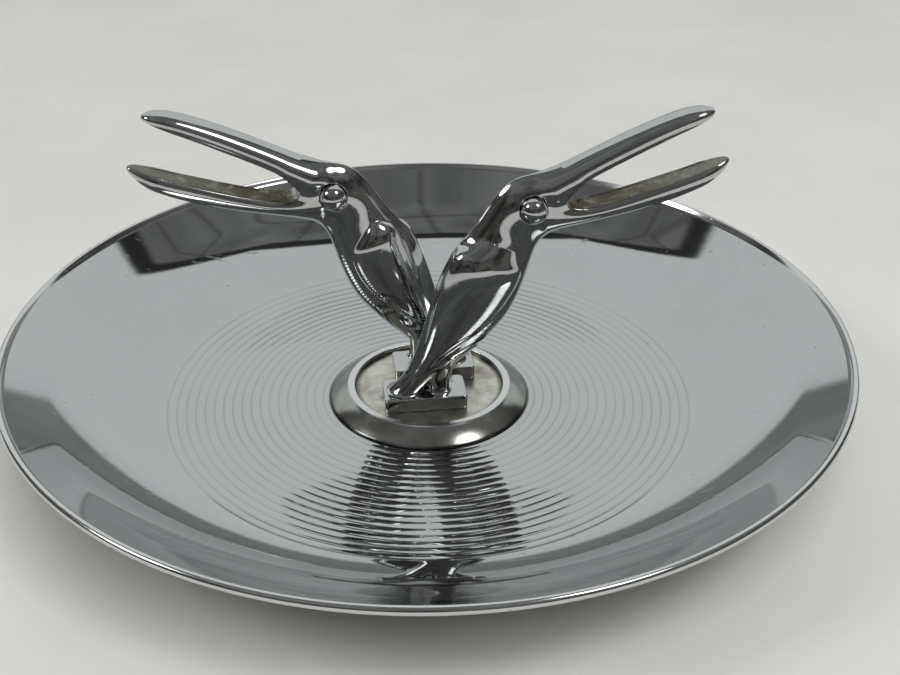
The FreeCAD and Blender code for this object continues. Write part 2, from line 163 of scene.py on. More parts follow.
# ---- Distance fields ---------------------------------------------------------------------------
class Limb:
    """Oval section swept along a smooth line; all section planes stand upright on the side view.

    ridge is how keen the outer edge is.  low_share, where it is under 1, is how far from the inner edge
    towards the outer the section is widest; otherwise that is half-way.  round_start and round_end are how
    many rows long the rounded ends are.  flat makes a slot of endless width instead of an oval.
    """

    def __init__(self, rows, ridge=0.0, low_share=1.0, round_start=0.0, round_end=0.0, flat=False):
        table = np.array(rows, float)
        outer, inner = table[:, 0:2], table[:, 2:4]
        half = (outer - inner) * 0.5
        middle = (outer + inner) * 0.5
        if low_share < 1.0:          # the section's middle lies nearer to the inner edge
            middle = inner + (outer - inner) * low_share
            half = (outer - inner) * (1 - low_share)
        self.knots = np.hstack([middle, half, table[:, 4:6]])
        self.last = len(rows) - 1
        self.bends = self.second_derivatives()
        self.ridge, self.flat = ridge, flat
        self.round_start, self.round_end = round_start, round_end

    def second_derivatives(self):
        count = len(self.knots)
        matrix = np.eye(count)
        right = np.zeros_like(self.knots)
        for row in range(1, count - 1):
            matrix[row, row - 1:row + 2] = (1, 4, 1)
            right[row] = 6 * (self.knots[row - 1] - 2 * self.knots[row] + self.knots[row + 1])
        return np.linalg.solve(matrix, right)

    def at(self, s, columns):
        """Values and slopes of the spline's columns at places s."""
        row = np.clip(np.floor(s).astype(int), 0, self.last - 1)
        t = s - row
        out = []
        for column in columns:
            p0, p1 = self.knots[row, column], self.knots[row + 1, column]
            m0, m1 = self.bends[row, column], self.bends[row + 1, column]
            value = (1 - t) * p0 + t * p1 + ((1 - t) ** 3 - (1 - t)) * m0 / 6 + (t ** 3 - t) * m1 / 6
            slope = p1 - p0 + (1 - 3 * (1 - t) ** 2) * m0 / 6 + (3 * t ** 2 - 1) * m1 / 6
            out.append((value, slope))
        return out

    def station(self, x, z):
        """Where points of the side view lie on the limb: height in the section, its sizes, and overrun."""
        samples = np.linspace(0, self.last, 5 * self.last + 1)
        (mx, _), (mz, _), (hx, _), (hz, _) = self.at(samples, range(4))
        gap = (x[:, None] - mx) * hz - (z[:, None] - mz) * hx
        away = (x[:, None] - mx) ** 2 + (z[:, None] - mz) ** 2
        crosses = gap[:, :-1] * gap[:, 1:] <= 0
        cost = np.where(crosses, away[:, :-1] + away[:, 1:], np.inf)
        pick = np.argmin(cost, axis=1)
        rows = np.arange(len(x))
        found = np.isfinite(cost[rows, pick])
        g0, g1 = gap[rows, pick], gap[rows, pick + 1]
        share = g0 / np.where(g0 == g1, 1, g0 - g1)
        spacing = samples[1]
        nearer_end = np.where(away[:, -1] < away[:, 0], float(self.last), 0.0)
        s = np.where(found, samples[pick] + np.clip(share, 0, 1) * spacing, nearer_end)
        low, high = samples[pick], samples[pick] + spacing
        for _ in range(4):
            (mx, dmx), (mz, dmz), (hx, dhx), (hz, dhz) = self.at(s, range(4))
            dx, dz = x - mx, z - mz
            error = dx * hz - dz * hx
            slope = -dmx * hz + dmz * hx + dx * dhz - dz * dhx
            step = error / np.where(np.abs(slope) < 1e-9, 1e-9, slope)
            s = np.where(found, np.clip(s - step, low, high), s)
        (mx, dmx), (mz, dmz), (hx, _), (hz, _), (width, _), (depth, _) = self.at(s, range(6))
        reach = np.hypot(hx, hz)
        up = ((x - mx) * hx + (z - mz) * hz) / reach
        side = ((x - mx) * hz - (z - mz) * hx) / reach
        beyond = np.where(found, 0.0, np.abs(side))
        cap = np.ones_like(s)
        if self.round_start:
            cap = np.sqrt(np.clip(1 - np.clip(1 - s / self.round_start, 0, 1) ** 2, 1e-8, 1))
        if self.round_end:
            out = np.clip((s - self.last + self.round_end) / self.round_end, 0, 1)
            cap = cap * np.sqrt(np.clip(1 - out ** 2, 1e-8, 1))
        return up, reach * cap, width * cap, depth, beyond

    def distance(self, station, y):
        up, reach, width, depth, beyond = station
        if self.flat:
            inner = np.abs(up) - reach + 0 * y
        else:
            across = y - depth
            v, t = up / reach, np.abs(across) / width
            lean = self.ridge * smooth_step(v)
            stretch = 1 - (lean / (1 + lean)) ** 2
            t = np.sqrt(t ** 2 + RIDGE_BLUNTING)
            r = np.sqrt(np.maximum(v ** 2 * stretch + ((t + lean) / (1 + lean)) ** 2, 1e-12))
            inner = np.sqrt(up ** 2 + across ** 2) * (1 - 1 / r)
        return np.where(beyond > 0, np.sqrt(np.maximum(inner, 0) ** 2 + beyond ** 2), inner)


def smooth_step(v):
    t = np.clip(v, 0, 1)
    return t * t * (3 - 2 * t)


def joined(a, b, radius):
    """Smooth union with a fillet."""
    h = np.maximum(radius - np.abs(a - b), 0) / radius
    return np.minimum(a, b) - h ** 3 * radius / 6


def carved(a, b, radius):
    """a without b, with a rounded edge."""
    return -joined(-a, b, radius)


def leg_rows(side):
    return [row + (side * LEG_OFFSET,) for row in LEG_ROWS]


def channel_rows(rows):
    """A shallow trough along the flat inner face of one half of the bill."""
    trough = []
    for outer_x, outer_z, flat_x, flat_z, width, depth in rows:
        out = Vector((outer_x - flat_x, outer_z - flat_z)).normalized() * TROUGH_HALF_DEPTH
        ends = (flat_x + out.x, flat_z + out.y, flat_x - out.x, flat_z - out.y)
        trough.append((*ends, width - TROUGH_LIP, depth))
    return trough


LIMBS = {
    "body": Limb(BODY, ridge=0.55),
    "upper": Limb(UPPER_BILL, ridge=0.8, low_share=0.36, round_start=0.5, round_end=1.5),
    "lower": Limb(LOWER_BILL, low_share=0.36, round_end=1.5),
    "mouth": Limb(MOUTH, round_start=1.0, flat=True),
    "right_wing": Limb(RIGHT_WING, round_start=1.4, round_end=1.5),
    "left_wing": Limb(LEFT_WING, round_start=1.4, round_end=1.5),
    "near_leg": Limb(leg_rows(-1)),
    "far_leg": Limb(leg_rows(1)),
    "upper_trough": Limb(channel_rows(UPPER_BILL[1:]), round_start=0.6, round_end=0.6),
    "lower_trough": Limb(channel_rows(LOWER_BILL[1:]), round_start=0.6, round_end=0.6),
}


def block_distance(x, y, z):
    """Foot block: a plate with rounded upright corners and a fine top edge."""
    half_x = (BLOCK_X[1] - BLOCK_X[0]) / 2
    qx = np.abs(x - sum(BLOCK_X) / 2) - half_x + BLOCK_CORNER
    qy = np.abs(y) - BLOCK_HALF_WIDTH + BLOCK_CORNER
    plan = np.hypot(np.maximum(qx, 0), np.maximum(qy, 0)) + np.minimum(np.maximum(qx, qy), 0) - BLOCK_CORNER
    tall = np.abs(z - sum(BLOCK_Z) / 2) - (BLOCK_Z[1] - BLOCK_Z[0]) / 2
    a, b = plan + BLOCK_EDGE, tall + BLOCK_EDGE
    return np.hypot(np.maximum(a, 0), np.maximum(b, 0)) + np.minimum(np.maximum(a, b), 0) - BLOCK_EDGE


def bird_distance(stations, x, y, z):
    """Signed distance, millimetres, to the whole casting."""
    part = {name: limb.distance(stations[name], y) for name, limb in LIMBS.items()}
    bird = joined(part["body"], part["lower"], LOWER_FILLET)
    bird = joined(bird, part["upper"], UPPER_FILLET)
    bird = joined(bird, part["left_wing"], WING_FILLET)
    shoulder = smooth_step((z - SHOULDER_Z) / SHOULDER_RISE)
    bird = joined(bird, part["right_wing"], WING_FILLET + SHOULDER_FILLET * shoulder)
    legs = joined(part["near_leg"], part["far_leg"], LEG_FILLET)
    feet = joined(legs, block_distance(x, y, z), FOOT_FILLET)
    bird = joined(bird, feet, TAIL_FILLET)
    bird = carved(bird, part["mouth"], MOUTH_EDGE)
    troughs = joined(part["upper_trough"], part["lower_trough"], TROUGH_FILLET)
    bird = carved(bird, troughs, TROUGH_EDGE)
    for side in (-1, 1):
        seat = np.sqrt((x - EYE_X) ** 2 + (y - side * EYE_OFFSET) ** 2 + (z - EYE_Z) ** 2)
        bird = carved(bird, seat - EYE_RADIUS - EYE_SEAT_GAP, EYE_SEAT_EDGE)
    return np.maximum(bird, BLOCK_Z[0] - z)


def all_stations(x, z):
    return {name: limb.station(x, z) for name, limb in LIMBS.items()}


def distance_and_slope(points):
    """Field and its gradient at scattered points."""
    x, y, z = points.T
    here = all_stations(x, z)
    value = bird_distance(here, x, y, z)
    slope = np.empty_like(points)
    slope[:, 1] = bird_distance(here, x, y + PROBE, z) - bird_distance(here, x, y - PROBE, z)
    for axis, (dx, dz) in ((0, (PROBE, 0)), (2, (0, PROBE))):
        ahead = bird_distance(all_stations(x + dx, z + dz), x + dx, y, z + dz)
        behind = bird_distance(all_stations(x - dx, z - dz), x - dx, y, z - dz)
        slope[:, axis] = ahead - behind
    return value, slope / (2 * PROBE)


def field_on_grid(low, high):
    """The field on an even grid, worked out layer by layer across the bird."""
    xs, ys, zs = [np.arange(a, b, GRID_STEP) for a, b in zip(low, high)]
    gx, gz = np.meshgrid(xs, zs, indexing="ij")
    stations = all_stations(gx.ravel(), gz.ravel())
    field = np.empty((len(xs), len(ys), len(zs)))
    for layer, y in enumerate(ys):
        values = bird_distance(stations, gx.ravel(), np.full(gx.size, y), gz.ravel())
        field[:, layer, :] = values.reshape(gx.shape)
    return field, np.array([xs[0], ys[0], zs[0]])


def without_checkers(field):
    """Fills the outer corners of chequered grid faces, where a surface would meet itself along an edge."""
    for _ in range(FILL_PASSES):
        inside = field < 0
        fill = np.zeros_like(inside)
        for axis in range(3):
            block = np.moveaxis(inside, axis, 0)
            target = np.moveaxis(fill, axis, 0)
            a, b, c, d = block[:, :-1, :-1], block[:, 1:, :-1], block[:, :-1, 1:], block[:, 1:, 1:]
            chequered = (a == d) & (b == c) & (a != b)
            target[:, :-1, :-1] |= chequered & ~a
            target[:, 1:, :-1] |= chequered & ~b
            target[:, :-1, 1:] |= chequered & ~c
            target[:, 1:, 1:] |= chequered & ~d
        if not fill.any():
            break
        field = np.where(fill, JUST_INSIDE, field)
    return field


def surface_net(field):
    """Vertices, in grid steps, and quads of the field's zero surface."""
    inside = field < 0
    corners = [(i, j, k) for i in (0, 1) for j in (0, 1) for k in (0, 1)]
    size = [n - 1 for n in field.shape]
    count = sum(inside[i:i + size[0], j:j + size[1], k:k + size[2]].astype(np.int8) for i, j, k in corners)
    cells = np.argwhere((count > 0) & (count < 8))
    values = [field[cells[:, 0] + i, cells[:, 1] + j, cells[:, 2] + k] for i, j, k in corners]
    total = np.zeros((len(cells), 3))
    hits = np.zeros(len(cells))
    for a, start in enumerate(corners):
        for b in range(a + 1, 8):
            step = np.subtract(corners[b], start)
            if np.abs(step).sum() != 1:
                continue
            crossed = (values[a] < 0) != (values[b] < 0)
            share = np.where(crossed, values[a] / np.where(crossed, values[a] - values[b], 1), 0)
            total += crossed[:, None] * (np.array(start) + share[:, None] * step)
            hits += crossed
    vertices = cells + total / hits[:, None]
    index = np.full(size, -1)
    index[tuple(cells.T)] = np.arange(len(cells))
    quads = []
    for axis in range(3):
        other = [(axis + 1) % 3, (axis + 2) % 3]
        first = np.take(inside, range(0, field.shape[axis] - 1), axis)
        second = np.take(inside, range(1, field.shape[axis]), axis)
        edges = np.argwhere(first != second)
        edges = edges[(edges[:, other[0]] > 0) & (edges[:, other[1]] > 0)]
        ring = []
        for back_a, back_b in ((1, 1), (0, 1), (0, 0), (1, 0)):
            cell = edges.copy()
            cell[:, other[0]] -= back_a
            cell[:, other[1]] -= back_b
            ring.append(index[tuple(cell.T)])
        quad = np.stack(ring, axis=1)
        outward = first[tuple(edges.T)]
        quad[~outward] = quad[~outward][:, ::-1]
        quads.append(quad)
    return vertices, np.vstack(quads)


def bird_surface():
    """Vertices, quads and normals of one bird about its median plane, millimetres."""
    field, start = field_on_grid(GRID_LOW, GRID_HIGH)
    vertices, quads = surface_net(without_checkers(field))
    vertices = start + vertices * GRID_STEP
    for _ in range(2):
        value, slope = distance_and_slope(vertices)
        steep = np.maximum((slope ** 2).sum(axis=1), 0.05)
        move = np.clip(value / steep, -GRID_STEP / 2, GRID_STEP / 2)
        vertices = vertices - slope * move[:, None]
    _, slope = distance_and_slope(vertices)
    normals = slope / np.maximum(np.linalg.norm(slope, axis=1), 1e-9)[:, None]
    return vertices, quads, normals


# ---- Mesh helpers --------------------------------------------------------------------------------
def new_object(name, vertices, faces, normals=None):
    mesh = bpy.data.meshes.new(name)
    mesh.from_pydata([tuple(v) for v in vertices], [], [tuple(f) for f in faces])
    mesh.polygons.foreach_set("use_smooth", [True] * len(mesh.polygons))
    if normals is not None:
        mesh.normals_split_custom_set_from_vertices([tuple(n) for n in normals])
    mesh.update()
    piece = bpy.data.objects.new(name, mesh)
    bpy.context.scene.collection.objects.link(piece)
    return piece


def turned_piece(name, profile, sides, closed=True):
    """Profile of (radius, height) points turned about Z; points on the axis become one vertex."""
    angles = np.arange(sides) * 2 * math.pi / sides
    vertices, rings = [], []
    for radius, height in profile:
        if radius < 1e-9:
            rings.append([len(vertices)] * sides)
            vertices.append((0, 0, height))
        else:
            rings.append(list(range(len(vertices), len(vertices) + sides)))
            vertices.extend((radius * math.cos(a), radius * math.sin(a), height) for a in angles)
    faces = []
    pairs = list(zip(rings, rings[1:] + rings[:1])) if closed else list(zip(rings, rings[1:]))
    for lower, upper in pairs:
        for side in range(sides):
            follow = (side + 1) % sides
            face = [lower[side], lower[follow], upper[follow], upper[side]]
            face = list(dict.fromkeys(face))
            if len(face) > 2:
                faces.append(face)
    return new_object(name, vertices, faces)


# ---- Pieces --------------------------------------------------------------------------------------
def set_back(vertices, normals):
    """Moves the figure inwards over its foot block, bending over the tail and legs."""
    rise = np.clip((vertices[:, 2] - BLOCK_Z[1]) / SET_BACK_RISE, 0, 1)
    steepness = 6 * rise * (1 - rise)        # the slope of smooth_step
    moved, tilted = vertices.copy(), normals.copy()
    moved[:, 0] -= REAR_SET_BACK * smooth_step(rise)
    tilted[:, 2] += normals[:, 0] * REAR_SET_BACK * steepness / SET_BACK_RISE
    return moved, tilted / np.linalg.norm(tilted, axis=1)[:, None]


def make_birds():
    vertices, quads, normals = bird_surface()
    shift = np.array([0, MEDIAN_PLANE, FLOOR_TOP])
    front = new_object("front_bird_skin", vertices * MM + shift, quads, normals)
    half_turn = np.array([-1, -1, 1])
    moved, tilted = set_back(vertices, normals)
    rear = new_object("rear_bird_skin", (moved * MM + shift) * half_turn, quads, tilted * half_turn)
    for piece, node in ((front, "front_bird"), (rear, "rear_bird")):
        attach(piece, "root")
        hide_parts(node)
    return front, rear


def wall_curve_radius():
    """The wall runs from the flat floor, round this curve, then straight into the bead."""
    reach = BEAD_MIDDLE[0] - FLAT_FLOOR_RADIUS
    rise = BEAD_MIDDLE[1] + RIM_BEAD_RADIUS / 2 - FLOOR_MM
    slope = math.tan(WALL_SLOPE)
    return (reach * slope - rise) / (math.sin(WALL_SLOPE) * slope - 1 + math.cos(WALL_SLOPE))


def groove(radius):
    """Depth of the turned lines: shallow round-bottomed grooves between narrower lands."""
    line = min(max(round((radius - GROOVE_FIRST) / GROOVE_PITCH), 0), GROOVE_COUNT - 1)
    from_line = radius - GROOVE_FIRST - line * GROOVE_PITCH
    return GROOVE_DEPTH * math.exp(-(from_line / GROOVE_HALF_WIDTH) ** 2)


def dish_profile():
    """Closed outline of the dish: along the underside to the rim, round the bead and back along the top."""
    curve = wall_curve_radius()
    curve_end = FLAT_FLOOR_RADIUS + curve * math.sin(WALL_SLOPE)

    def skin(radius, drop):
        out = min(max(radius - FLAT_FLOOR_RADIUS, 0), curve_end - FLAT_FLOOR_RADIUS)
        height = FLOOR_MM + curve - math.sqrt(curve ** 2 - out ** 2)
        angle = math.asin(out / curve)
        height += max(0, radius - curve_end) * math.tan(WALL_SLOPE)
        return (radius + drop * math.sin(angle), height - drop * math.cos(angle))

    def arc(centre, radius, first, last, steps):
        angles = [math.radians(first + (last - first) * i / steps) for i in range(steps + 1)]
        return [(centre[0] + radius * math.cos(a), centre[1] + radius * math.sin(a)) for a in angles]

    foot = (BOSS_RADIUS + BOSS_FOOT_FILLET, FLOOR_MM + BOSS_FOOT_FILLET)
    upper = [(radius, BOSS_TOP) for radius in (0, *BOSS_RINGS)]
    upper += arc((BOSS_RADIUS - SHEET, BOSS_TOP - SHEET), SHEET, 90, 0, 6)
    upper += arc(foot, BOSS_FOOT_FILLET, 180, 270, 6)
    upper += [(FLOOR_RING, FLOOR_MM)]
    for number in range(GROOVE_COUNT):
        for offset in GROOVE_OFFSETS:
            radius = GROOVE_FIRST + GROOVE_PITCH * number + offset
            r, z = skin(radius, 0)
            upper.append((r, z - groove(radius)))
    last = GROOVE_FIRST + GROOVE_PITCH * (GROOVE_COUNT - 0.5)
    wall_end = BEAD_MIDDLE[0] - WALL_INTO_BEAD
    upper += [skin(last + (wall_end - last) * (i + 1) / WALL_STEPS, 0) for i in range(WALL_STEPS)]
    bead = arc(BEAD_MIDDLE, RIM_BEAD_RADIUS, *BEAD_ARC, BEAD_STEPS)
    under_end = wall_end - UNDERSIDE_SHORTER
    under_run = under_end - FLAT_FLOOR_RADIUS
    lower = [skin(under_end - under_run * i / UNDERSIDE_STEPS, SHEET) for i in range(UNDERSIDE_STEPS + 1)]
    lower += [(radius, FLOOR_MM - SHEET) for radius in UNDERSIDE_RINGS]
    lower += arc(foot, BOSS_FOOT_FILLET + SHEET, 270, 180, 8)
    lower += [(BOSS_RADIUS - SHEET, BOSS_TOP - SHEET - 0.05), (BOSS_RADIUS - SHEET - 0.15, BOSS_TOP - SHEET)]
    lower += [(BOSS_RINGS[0], BOSS_TOP - SHEET), (0, BOSS_TOP - SHEET)]
    return (upper + bead + lower)[::-1]          # this way round the faces look outwards


def scaled(profile):
    return [(radius * MM, height * MM) for radius, height in profile]


def make_dish():
    dish = turned_piece("dish_skin", scaled(dish_profile()), DISH_SIDES)
    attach(dish, "root")
    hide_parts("dish")
    return dish


def make_hub_ring():
    """Bevelled ring with softened edges."""
    foot, top, bottom = RING_HIGH.x / MM, RING_HIGH.z / MM, RING_LOW.z / MM
    crown = foot - RING_BEVEL_REACH
    bore = BOSS_RADIUS
    edge = foot - RING_EDGE
    bevel_foot = bottom + 0.5
    profile = [(bore + RING_RELIEF, bottom), (bore + 2.5, bottom), (foot - 0.25, bottom)]
    profile += [(edge, bottom + RING_EDGE), (foot, bottom + 0.25), (edge, bevel_foot)]
    for step in range(1, RING_BEVEL_STEPS):
        share = step / RING_BEVEL_STEPS
        bulge = RING_BULGE * math.sin(math.pi * share)
        out = edge - (edge - crown) * share + bulge
        profile.append((out, bevel_foot + (top - bevel_foot) * share + bulge))
    profile += [(crown + 0.3, top - 0.14), (crown + 0.1, top - 0.03), (crown - 0.1, top)]
    profile += [(crown - 0.6, top), (bore + 0.5, top), (bore + 0.3, top), (bore + 0.1, top - 0.06)]
    profile += [(bore, top - 0.25), (bore, top - 1.5), (bore, bottom + RING_RELIEF)]
    ring = turned_piece("hub_ring_skin", scaled(profile), RING_SIDES)
    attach(ring, "root")
    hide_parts("hub_ring")
    return ring


def make_eyes():
    """Polished balls, each where the frame has its node."""
    balls = []
    for node in ("front_bird_eye_near", "front_bird_eye_far", "rear_bird_eye_near", "rear_bird_eye_far"):
        low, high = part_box(node)
        middle, radius = (low + high) / 2, (high.x - low.x) / 2
        profile = []
        for step in range(EYE_STEPS + 1):
            angle = math.pi * (step / EYE_STEPS - 0.5)
            at_pole = step in (0, EYE_STEPS)
            profile.append((0.0 if at_pole else radius * math.cos(angle), radius * math.sin(angle)))
        ball = turned_piece(node + "_ball", profile, EYE_SIDES, closed=False)
        for vertex in ball.data.vertices:
            vertex.co += middle
        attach(ball, "root")
        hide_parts(node)
        balls.append(ball)
    return balls


# ---- Node trees ------------------------------------------------------------------------------------
class Nodes:
    """Small helper round one node tree."""

    def __init__(self, tree, coordinates):
        self.tree = tree
        self.place = self.add("ShaderNodeTexCoord").outputs[coordinates]

    def add(self, kind, **settings):
        node = self.tree.nodes.new(kind)
        for key, value in settings.items():
            setattr(node, key, value)
        return node

    def feed(self, value, socket):
        """Links a socket, or sets it to a number or colour."""
        if isinstance(value, bpy.types.NodeSocket):
            self.tree.links.new(value, socket)
        elif isinstance(value, tuple):
            socket.default_value = (*value, 1)
        else:
            socket.default_value = value

    def noise(self, scale, detail=4.0, roughness=0.55, stretch=(1, 1, 1)):
        node = self.add("ShaderNodeTexNoise")
        for name, value in (("Scale", scale), ("Detail", detail), ("Roughness", roughness)):
            node.inputs[name].default_value = value
        mapping = self.add("ShaderNodeMapping")
        mapping.inputs["Scale"].default_value = stretch
        self.feed(self.place, mapping.inputs["Vector"])
        self.feed(mapping.outputs["Vector"], node.inputs["Vector"])
        return node.outputs["Fac"]

    def between(self, value, low, high, first=0.0, last=1.0):
        """Eases from first to last as the value goes from low to high."""
        node = self.add("ShaderNodeMapRange", interpolation_type="SMOOTHSTEP")
        for index, item in enumerate((value, low, high, first, last)):
            self.feed(item, node.inputs[index])
        return node.outputs[0]

    def math(self, operation, a, b=0.0, clamp=False):
        node = self.add("ShaderNodeMath", operation=operation, use_clamp=clamp)
        self.feed(a, node.inputs[0])
        self.feed(b, node.inputs[1])
        return node.outputs["Value"]

    def product(self, *values):
        result = values[0]
        for value in values[1:]:
            result = self.math("MULTIPLY", result, value)
        return result

    def total(self, *values):
        result = values[0]
        for value in values[1:]:
            result = self.math("ADD", result, value)
        return result

    def mix(self, share, first, second):
        node = self.add("ShaderNodeMix", data_type="RGBA")
        for index, value in ((0, share), (6, first), (7, second)):
            self.feed(value, node.inputs[index])
        return node.outputs[2]

    def axes(self):
        node = self.add("ShaderNodeSeparateXYZ")
        self.feed(self.place, node.inputs[0])
        return node.outputs["X"], node.outputs["Y"], node.outputs["Z"]

    def from_axis(self):
        """Distance from the dish's axis."""
        x, y, _ = self.axes()
        return self.math("SQRT", self.total(self.product(x, x), self.product(y, y)))


# ---- Materials: object coordinates are metres, so a noise of scale 100 has grains of about 10 mm -----
CHROME = (0.53, 0.54, 0.545)
BROWN = (0.075, 0.05, 0.026)
OLIVE = (0.15, 0.145, 0.075)
# Dark tone of pits, also used for painted shade in the grooves, round the ring's foot and at the plate's edge
SOOT_AND_SHADE = (0.03, 0.028, 0.024)
GAP_SLOPE = 0.37                             # rise over run of the middle of the gap between the bills


class Shader(Nodes):
    """A material with one principled surface."""

    def __init__(self, name):
        self.material = bpy.data.materials.new(name)
        self.material.use_nodes = True
        super().__init__(self.material.node_tree, "Object")
        self.surface = self.tree.nodes["Principled BSDF"]

    def finish(self, colour, roughness, metallic, bump_height, bump_strength, bump_distance):
        node = self.add("ShaderNodeBump")
        self.feed(bump_strength, node.inputs["Strength"])
        self.feed(bump_distance, node.inputs["Distance"])
        self.feed(bump_height, node.inputs["Height"])
        pairs = (("Base Color", colour), ("Roughness", roughness), ("Metallic", metallic))
        for name, value in pairs + (("Normal", node.outputs["Normal"]),):
            self.feed(value, self.surface.inputs[name])
        return self.material

    def spot(self, centre_mm, radius_mm):
        """1 in the middle of a ragged ball, fading to 0 at its edge."""
        away = self.add("ShaderNodeVectorMath", operation="DISTANCE")
        self.feed(self.place, away.inputs[0])
        away.inputs[1].default_value = [value * MM for value in centre_mm]
        radius = radius_mm * MM
        frayed = self.product(self.noise(420, 5, 0.65), radius * 0.9)
        ragged = self.math("ADD", away.outputs["Value"], frayed)
        edge = radius * 1.45
        return self.between(ragged, edge * 0.2, edge, 1.0, 0.0)


def bill_film(shader):
    """Dirt that lies in the trough of a lower bill: on faces that look up, below the middle of the gap."""
    x, _, z = shader.axes()
    out = shader.product(shader.math("ABSOLUTE", x), 1 / MM)
    over_middle = shader.math("SUBTRACT", shader.product(z, 1 / MM), shader.product(out, GAP_SLOPE))
    split = shader.add("ShaderNodeSeparateXYZ")
    shader.feed(shader.add("ShaderNodeNewGeometry").outputs["Normal"], split.inputs[0])
    level = shader.between(split.outputs["Z"], 0.70, 0.86)
    patchy = shader.between(shader.noise(260, 7, 0.75), 0.30, 0.52, 0.55, 1.0)
    thinning = shader.between(out, 40, 76, 1.0, 0.7)
    past_head = shader.between(out, 33, 36)
    below = shader.between(over_middle, 50.6, 52.0, 1.0, 0.0)
    return shader.product(level, patchy, thinning, past_head, below)


def chrome(name, rough, stains=(), pits=0.5, film=False):
    """Chrome plate: a clear mirror with smudges, hair scratches, pits and tarnish."""
    shader = Shader(name)
    smudge = shader.noise(60, 5, 0.6)
    pit = shader.between(shader.noise(1500, 2), 0.72, 0.77, 0.0, pits)
    scratch = shader.between(shader.noise(700, 2, 0.5, (1, 0.06, 1)), 0.66, 0.70, 0.0, 0.12)
    colour = shader.mix(shader.product(smudge, 0.16), CHROME, (0.42, 0.43, 0.42))
    colour = shader.mix(pit, colour, SOOT_AND_SHADE)
    roughness = shader.total(shader.product(smudge, 0.05), rough - 0.02, shader.product(pit, 0.3), scratch)
    for centre, radius, tone, strength in stains:
        share = shader.product(shader.spot(centre, radius), strength)
        colour = shader.mix(share, colour, tone)
        roughness = shader.math("ADD", roughness, shader.product(share, 0.3), clamp=True)
    if film:
        share = bill_film(shader)
        colour = shader.mix(share, colour, shader.mix(shader.noise(190, 5, 0.7), BROWN, OLIVE))
        roughness = shader.math("ADD", roughness, shader.product(share, 0.45), clamp=True)
    return shader.finish(colour, roughness, 1.0, shader.noise(220, 3), 0.04, 0.0002)


def dish_chrome():
    """The dish: painted shade in the turned grooves and round the ring's foot, and a painted highlight on the
    lip.
    """
    shader = Shader("dish_chrome")
    radius = shader.math("MULTIPLY", shader.from_axis(), 1 / MM)
    line = shader.math("DIVIDE", shader.math("SUBTRACT", radius, GROOVE_FIRST), GROOVE_PITCH)
    off_line = shader.product(shader.math("PINGPONG", line, 0.5), GROOVE_PITCH)
    past_first = shader.between(line, -0.3, -0.2)
    before_end = shader.between(line, GROOVE_COUNT - 0.8, GROOVE_COUNT - 0.7, 1.0, 0.0)
    grooved = shader.product(past_first, before_end)
    patchy = shader.between(shader.noise(45, 6, 0.7), 0.30, 0.72, 0.35, 1.0)
    # painted shade: patchy dark lines along the bottoms of the turned grooves
    painted_groove_shade = shader.product(shader.between(off_line, 0.10, 0.5, 1.0, 0.0), grooved, patchy, 0.22)
    foot = RING_HIGH.x / MM
    # painted shadow: a dark band on the dish just outside the ring's foot
    painted_foot_shadow = shader.product(shader.between(radius, foot + 0.15, foot + 0.6, 1.0, 0.0), 0.7)
    # painted highlight: a brighter, rougher band just inside the rim
    painted_lip_sheen = shader.between(radius, RIM_RADIUS - 2.3, RIM_RADIUS - 1.9)
    smudge = shader.noise(38, 6, 0.65)
    pit = shader.between(shader.noise(900, 2), 0.73, 0.78, 0.0, 0.7)
    scratch = shader.between(shader.noise(520, 2, 0.5, (0.05, 1, 1)), 0.66, 0.70, 0.0, 0.10)
    colour = shader.mix(shader.product(smudge, 0.2), CHROME, (0.40, 0.41, 0.40))
    colour = shader.mix(painted_lip_sheen, colour, (0.66, 0.67, 0.67))
    colour = shader.mix(shader.math("MAXIMUM", painted_groove_shade, painted_foot_shadow), colour, SOOT_AND_SHADE)
    colour = shader.mix(pit, colour, SOOT_AND_SHADE)
    brown = shader.product(shader.spot((11, -38, 3.2), 2.2), 0.8)
    colour = shader.mix(brown, colour, BROWN)
    roughness = shader.total(
        shader.product(smudge, 0.06), 0.015, scratch, shader.product(painted_lip_sheen, 0.08),
        shader.product(painted_groove_shade, 0.3), shader.product(painted_foot_shadow, 0.4), shader.product(brown, 0.3))
    return shader.finish(colour, roughness, 1.0, shader.noise(160, 4), 0.03, 0.0002)


def ring_chrome():
    """Satin bevel with a painted highlight along its crown and painted shade at its outer foot."""
    shader = Shader("ring_chrome")
    radius = shader.math("MULTIPLY", shader.from_axis(), 1 / MM)
    # painted highlight: the crown is coloured brighter
    crown = shader.between(radius, 22.7, 23.5, 1.0, 0.0)
    cloud = shader.noise(90, 6, 0.65)
    colour = shader.mix(shader.between(cloud, 0.35, 0.7), (0.42, 0.43, 0.41), (0.32, 0.325, 0.30))
    colour = shader.mix(crown, colour, (0.68, 0.69, 0.68))
    # painted shade: patchy darkening towards the ring's outer foot edge, where it meets the dish
    painted_ring_foot_shade = shader.product(shader.between(radius, 27.4, 28.3), shader.between(cloud, 0.3, 0.6, 0.3, 0.9))
    colour = shader.mix(painted_ring_foot_shade, colour, SOOT_AND_SHADE)
    rough = shader.total(shader.product(crown, 0.02), 0.13, shader.product(cloud, 0.06))
    return shader.finish(colour, rough, 1.0, shader.noise(900, 4, 0.6), 0.12, 0.0001)


